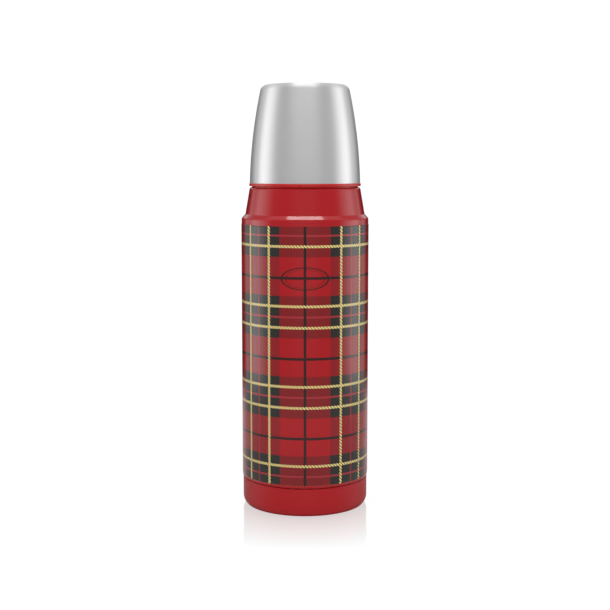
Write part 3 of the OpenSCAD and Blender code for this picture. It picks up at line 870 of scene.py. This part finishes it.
vesselSizes = {
    "wall": 0.5,
    "corner": 12.0,
    "shoulder": 13.0,
    "shoulderTurn": 60.0,
    "throatRise": 7.8,
    "seatDepth": 17.0,
    "seatWidth": 2.5,
    "ridgeHeight": 1.0,
    "ridgeWidth": 1.4,
    "ridgeRise": 4.5,
    "lead": 6.0,
    "turns": 1.2,
    "starts": 2,
}

cupThread = {
    "height": 1.3,
    "width": 1.9,
    "lead": 12.0,
    "turns": 0.7,
    "starts": 3,
    "rise": 3.9,
    "gap": 0.4,
    "flange": 0.65,
    "neckGap": 2.0,
    "ringWall": 2.05,
    "lipDrop": 0.9,  # the ring's top below the steel lip
}

linerSizes = {
    "wall": 1.4,
    "threadWall": 1.6,
    "threadBand": 11.5,
    "threadEase": 1.5,
    "leadIn": 0.5,
    "rimHeight": 1.6,
    "rimProud": 0.35,
    "corner": 5.0,
    "steel": 0.5,
    "sideR": 290.0,
    "sideDrop": 5.4,
    "topCorner": 4.3,
}

collarTopR = rimR - linerSizes["rimProud"]
linerThreadR = collarTopR - linerSizes["steel"] - glueGap - linerSizes["threadWall"]
ringCrestR = linerThreadR - cupThread["gap"]
ringR = ringCrestR - cupThread["height"]
neckR = ringR - cupThread["ringWall"] - glueGap
boreR = neckR - shellSizes["wall"] - cupThread["neckGap"] - vesselSizes["wall"]
throatR = boreR - vesselSizes["seatWidth"]
seatZ = lipZ - vesselSizes["seatDepth"]


def vesselLine(t):
    s = vesselSizes
    r = vesselOutR - s["wall"]
    floorZ = vesselLow + s["wall"]
    turn = s["shoulderTurn"]
    throatRound = (r - throatR) / (1 - math.cos(math.radians(turn))) - s["shoulder"]
    throatZ = seatZ - s["throatRise"]
    topZ = throatZ - (s["shoulder"] + throatRound) * math.sin(math.radians(turn))
    line = [(0, floorZ - t)]
    line += arcPoints(r - s["corner"], floorZ + s["corner"], s["corner"] + t, -90, 0, 16)
    line += arcPoints(r - s["shoulder"], topZ, s["shoulder"] + t, 0, turn, 14)
    line += arcPoints(throatR + throatRound, throatZ, throatRound - t, 180 + turn, 180, 12)
    return line + [(throatR + t, seatZ - t, 0.3), (boreR + t, seatZ - t)]


def makeVessel():
    s = vesselSizes
    t = s["wall"]
    outside = vesselLine(t) + [(boreR + t, lipZ - t), (neckR, lipZ - t), (neckR, lipZ, 0.2)]
    inside = [(boreR, lipZ, 0.35)] + list(reversed(vesselLine(0)))
    piece = turned("innerVessel", outside + inside, "vesselSteel", segments=160, rounding=4)
    settle(piece, "flask", ["inner_flask", "inner_neck"])
    thread = ridges("neckThread", "vesselSteel", {
        "root": boreR, "height": s["ridgeHeight"], "side": -1, "width": s["ridgeWidth"], "lead": s["lead"],
        "turns": s["turns"], "starts": s["starts"], "start": seatZ + s["ridgeRise"]})
    settle(thread, "flask")
    return piece


def makeThreadRing():
    s = cupThread
    bore = neckR + glueGap
    top = lipZ - s["lipDrop"]
    flangeTop = collarZ + s["flange"]
    points = [(bore, collarZ), (ringFlangeR, collarZ, 0.1), (ringFlangeR, flangeTop, 0.2),
              (ringR, flangeTop, 0.2), (ringR, top, 0.6), (bore, top, 0.15)]
    piece = turned("threadRing", points, "moulded", closed=True, segments=160, rounding=4)
    settle(piece, "flask", ["neck_thread_ring"])
    thread = ridges("cupThreadOuter", "moulded", {
        "root": ringR, "height": s["height"], "side": 1, "width": s["width"], "lead": s["lead"],
        "turns": s["turns"], "starts": s["starts"], "start": collarZ + s["rise"]})
    settle(thread, "flask")
    return piece


# screw-on cup: steel outside, moulded liner inside

def cupLine(t, fromZ, topZ, corner, steps):
    s = linerSizes
    centreZ = rimZ - s["sideDrop"]
    centreX = collarTopR - math.sqrt(s["sideR"] ** 2 - (rimZ + s["rimHeight"] - centreZ) ** 2)
    r = s["sideR"] - t
    cornerZ = topZ - corner
    cornerX = centreX + math.sqrt((r - corner) ** 2 - (cornerZ - centreZ) ** 2)
    cornerA = math.degrees(math.asin((cornerZ - centreZ) / (r - corner)))
    fromA = math.degrees(math.asin((fromZ - centreZ) / r))
    side = arcPoints(centreX, centreZ, r, fromA, cornerA, steps)
    return side + arcPoints(cornerX, cornerZ, corner, cornerA, 90, 14)[1:] + [(0, topZ)]


def makeCupShell():
    s = linerSizes
    low = rimZ + s["rimHeight"]
    outer = cupLine(0, low, cupHigh, s["topCorner"], 28)
    inner = cupLine(s["steel"], low, cupHigh - s["steel"], s["topCorner"] - s["steel"], 28)
    hem = [(outer[0][0], outer[0][1], 0.24), (inner[0][0], inner[0][1], 0.2)]
    points = list(reversed(outer))[:-1] + hem + inner[1:]
    piece = turned("steelCup", points, "cupSteel", segments=224, rounding=5)
    return settle(piece, "cup", ["cup_shell"])


def makeCupLiner():
    s = linerSizes
    out = s["steel"] + glueGap
    low = rimZ + s["rimHeight"]
    bandTop = rimZ + s["threadBand"]
    floorZ = linerHigh - s["wall"]
    outer = cupLine(out, low, linerHigh, s["corner"] + s["wall"], 20)
    inner = cupLine(out + s["wall"], bandTop, floorZ, s["corner"], 20)
    rim = [(rimR, low, 0.4), (rimR, rimZ, 0.35), (linerThreadR + s["leadIn"], rimZ),
           (linerThreadR, rimZ + s["leadIn"]), (linerThreadR, bandTop - s["threadEase"])]
    points = list(reversed(outer)) + rim + inner
    piece = turned("cupLiner", points, "moulded", segments=192, rounding=5)
    settle(piece, "cup", ["cup_liner"])
    t = cupThread
    start = collarZ + t["rise"] - t["lead"] / t["starts"] / 2
    thread = ridges("cupThreadInner", "moulded", {
        "root": linerThreadR, "height": t["height"], "side": -1, "width": t["width"], "lead": t["lead"],
        "turns": t["turns"], "starts": t["starts"], "start": start})
    settle(thread, "cup")
    return piece


# stopper: threaded plug with pouring channels, ribbed head, sunk top disc, cap and seals

stopperSizes = {
    "headGap": 0.4,
    "flange": 2.4,
    "flangeRound": 0.8,
    "headRound": 1.0,
    "threadGap": 0.4,
    "wall": 2.6,
    "ledge": 1.2,
    "spigotIn": 4.8,  # the seal's seat inside its rim
    "channelWidth": 9.0,
    "channelDepth": 1.7,
    "channelMargin": 1.0,
    "channelReach": 5.0,  # the cutter's depth, well past the thread
    "channelRound": 0.9,
    "ribs": 30,
    "ribRadius": 0.9,
    "ribSink": 0.1,
    "ribRoot": 0.3,
    "ribMargin": 1.5,
    "ringOut": 0.1,
    "capRound": 2.0,
    "capRecess": 0.4,
    "recessIn": (4.0, 3.2),  # the recess wall's two ends, inside the spigot
    "sealEdge": 0.5,
    "sealShoulder": (0.8, 1.0),  # across and down
    "arrowSweep": 70.0,  # degrees
    "arrowPlace": 0.6,  # share of the disc's radius
    "arrowWidth": 1.6,
    "arrowHead": (4.8, 4.0),
    "arrowDepth": 0.4,
}

sealR, sealLow, plugZ = span("stopper_seal")
capR, capLow, capHigh = span("stopper_base")
lidR, lidLow, headTopZ = span("stopper_lid")
ringSealR, ringSealLow, ringSealHigh = span("stopper_o_ring")
flangeR, plugLow = span("stopper_body")[:2]
plugR = boreR - stopperSizes["threadGap"] - vesselSizes["ridgeHeight"]
ringSealZ = (ringSealLow + ringSealHigh) / 2
ringThick = (ringSealHigh - ringSealLow) / 2
spigotR = sealR - stopperSizes["spigotIn"]
knobR = lidR + stopperSizes["wall"] + glueGap
headZ = lipZ + stopperSizes["headGap"]


def cutterFrom(work, name):
    mesh = bpy.data.meshes.new(name)
    work.to_mesh(mesh)
    work.free()
    cutter = bpy.data.objects.new(name, mesh)
    bpy.context.scene.collection.objects.link(cutter)
    return cutter


def cutAway(piece, cutters):
    for cutter in cutters:
        modifier = piece.modifiers.new("cut", "BOOLEAN")
        modifier.operation = "DIFFERENCE"
        modifier.solver = "EXACT"
        modifier.object = cutter
    graph = bpy.context.evaluated_depsgraph_get()
    carved = bpy.data.meshes.new_from_object(piece.evaluated_get(graph))
    old = piece.data
    piece.modifiers.clear()
    piece.data = carved
    bpy.data.meshes.remove(old)
    # cut faces have no place in the old map
    if "OFBake" in carved.uv_layers:
        carved.uv_layers.remove(carved.uv_layers["OFBake"])
    return piece


def dropAll(objects):
    for thing in objects:
        mesh = thing.data
        bpy.data.objects.remove(thing)
        bpy.data.meshes.remove(mesh)


def channelCutters():
    s = stopperSizes
    top = ringSealZ - ringThick - s["channelMargin"]
    low = plugZ - s["channelMargin"]
    inner = plugR - s["channelDepth"]
    cutters = []
    for side in (-1, 1):
        work = bmesh.new()
        bmesh.ops.create_cube(work, size=1)
        size = Vector((s["channelWidth"], s["channelReach"], top - low)) * mm
        for vertex in work.verts:
            vertex.co = Vector([part * length for part, length in zip(vertex.co, size)])
        middle = Vector((0, side * (inner + s["channelReach"] / 2), (top + low) / 2)) * mm
        inside = []
        for edge in work.edges:
            ends = [vertex.co for vertex in edge.verts]
            upright = ends[0].z * ends[1].z < 0
            if all(side * end.y < 0 for end in ends) and (upright or ends[0].z > 0):
                inside.append(edge)
        offset = s["channelRound"] * mm
        bmesh.ops.bevel(work, geom=inside, offset=offset, segments=4, profile=0.5, affect="EDGES")
        bmesh.ops.translate(work, verts=work.verts, vec=middle)
        cutters.append(cutterFrom(work, "channel cutter"))
    return cutters


def makePlug():
    s = stopperSizes
    cavity = plugR - s["channelDepth"] - s["wall"]
    flangeTop = headZ + s["flange"]
    groove = ringThick + glueGap
    dip = math.degrees(math.asin(s["ringOut"] / groove))
    points = [(0, plugLow), (spigotR, plugLow, 0.3), (spigotR, plugZ), (plugR, plugZ, 0.3)]
    points += arcPoints(plugR + s["ringOut"], ringSealZ, groove, 270 - dip, 90 + dip, 12)
    points += [(plugR, headZ, 0.15), (flangeR, headZ, 0.3), (flangeR, flangeTop, s["flangeRound"]),
               (knobR, flangeTop, 0.4), (knobR, headTopZ, s["headRound"]), (lidR + glueGap, headTopZ, 0.15),
               (lidR + glueGap, lidLow), (lidR - s["ledge"], lidLow), (lidR - s["ledge"], flangeTop),
               (cavity, headZ), (cavity, plugZ + s["wall"]), (0, plugZ + s["wall"])]
    piece = turned("stopperPlug", points, "stopper", segments=160, rounding=5)
    v = vesselSizes
    thread = ridges("stopperThread", "stopper", {
        "root": plugR, "height": v["ridgeHeight"], "side": 1, "width": v["ridgeWidth"], "lead": v["lead"],
        "turns": v["turns"], "starts": v["starts"],
        "start": seatZ + v["ridgeRise"] + v["lead"] / v["starts"] / 2})
    cutters = channelCutters()
    cutAway(piece, cutters)
    cutAway(thread, cutters)
    dropAll(cutters)
    settle(piece, "stopper", ["stopper_body"])
    settle(thread, "stopper")
    seed = bpy.data.meshes.new("rib seed")
    grip = grow("stopperGrip", seed, gripTree, {
        "Count": s["ribs"], "Ring Radius": (knobR - s["ribSink"]) * mm, "Rib Radius": s["ribRadius"] * mm,
        "Low": (flangeTop - s["ribRoot"]) * mm, "High": (headTopZ - s["ribMargin"]) * mm,
        "Material": finishes["stopper"]})
    settle(grip, "stopper")
    return piece


def arrowCutters():
    s = stopperSizes
    inner = lidR * s["arrowPlace"]
    outer = inner + s["arrowWidth"]
    middle = (inner + outer) / 2
    wide, long = s["arrowHead"]
    sweep = s["arrowSweep"]
    cutters = []
    for turn in (0, 180):
        band = arcPoints(0, 0, inner, turn, turn + sweep, 16)
        tip = math.radians(turn + sweep)
        radial = Vector((math.cos(tip), math.sin(tip)))
        ahead = Vector((-math.sin(tip), math.cos(tip)))
        head = [radial * (middle - wide / 2), radial * middle + ahead * long, radial * (middle + wide / 2)]
        outline = [Vector(point) for point in band] + head
        outline += [Vector(point) for point in arcPoints(0, 0, outer, turn + sweep, turn, 16)]
        work = bmesh.new()
        low = headTopZ - s["arrowDepth"]
        face = work.faces.new([work.verts.new((p.x * mm, p.y * mm, low * mm)) for p in outline])
        raised = bmesh.ops.extrude_face_region(work, geom=[face])
        lifted = [item for item in raised["geom"] if isinstance(item, bmesh.types.BMVert)]
        bmesh.ops.translate(work, verts=lifted, vec=(0, 0, 2 * s["arrowDepth"] * mm))
        bmesh.ops.recalc_face_normals(work, faces=work.faces[:])
        cutters.append(cutterFrom(work, "arrow cutter"))
    return cutters


def makeStopperTop():
    points = [(0, lidLow), (lidR, lidLow), (lidR, headTopZ, 0.35), (0, headTopZ)]
    piece = turned("stopperTop", points, "moulded", segments=128, rounding=5)
    cutters = arrowCutters()
    cutAway(piece, cutters)
    dropAll(cutters)
    return settle(piece, "stopper", ["stopper_lid"])


def makeStopperCap():
    s = stopperSizes
    recessZ = capLow + s["capRecess"]
    seatR = spigotR + glueGap
    deep, shallow = s["recessIn"]
    points = [(0, recessZ), (spigotR - deep, recessZ, 0.3), (spigotR - shallow, capLow, 0.3)]
    points += arcPoints(capR - s["capRound"], capLow + s["capRound"], s["capRound"], -90, 0, 10)
    points += [(capR, capHigh, 0.2), (seatR, capHigh), (seatR, plugLow), (0, plugLow)]
    piece = turned("stopperCap", points, "stopper", segments=144, rounding=4)
    return settle(piece, "stopper", ["stopper_base"])


def makeSeals():
    seatR = spigotR + glueGap
    edge = stopperSizes["sealEdge"]
    across, down = stopperSizes["sealShoulder"]
    points = [(seatR, sealLow), (sealR - edge, sealLow, 0.25), (sealR, sealLow + edge, 0.3),
              (sealR, plugZ - down, 0.4), (sealR - across, plugZ, 0.3), (seatR, plugZ)]
    piece = turned("stopperSeal", points, "silicone", closed=True, segments=144, rounding=4)
    settle(piece, "stopper", ["stopper_seal"])
    circle = arcPoints(ringSealR - ringThick, ringSealZ, ringThick, 0, 360, 24)[:-1]
    ring = turned("stopperRing", circle, "silicone", closed=True, segments=160)
    return settle(ring, "stopper", ["stopper_o_ring"])


makeShell()
makeWrap()
makeBoot()
makePad()
print("body made")
makeVessel()
makeThreadRing()
print("neck made")
makeCupShell()
makeCupLiner()
print("cup made")
makePlug()
makeStopperTop()
makeStopperCap()
makeSeals()
print("stopper made")


# sealed inner pieces keep their shape from the frame

innerFinishes = {
    "base_plate": "vesselSteel",
    "vacuum_seal": "solder",
    "getter": "getter",
    "getter_bracket": "vesselSteel",
    "radiation_foil": "foil",
    "stopper_foam": "foam",
    "cup_insulation": "foam",
}

for node, finish in innerFinishes.items():
    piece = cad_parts[node]
    piece.data.materials.clear()
    piece.data.materials.append(finishes[finish])
print("inner pieces finished")
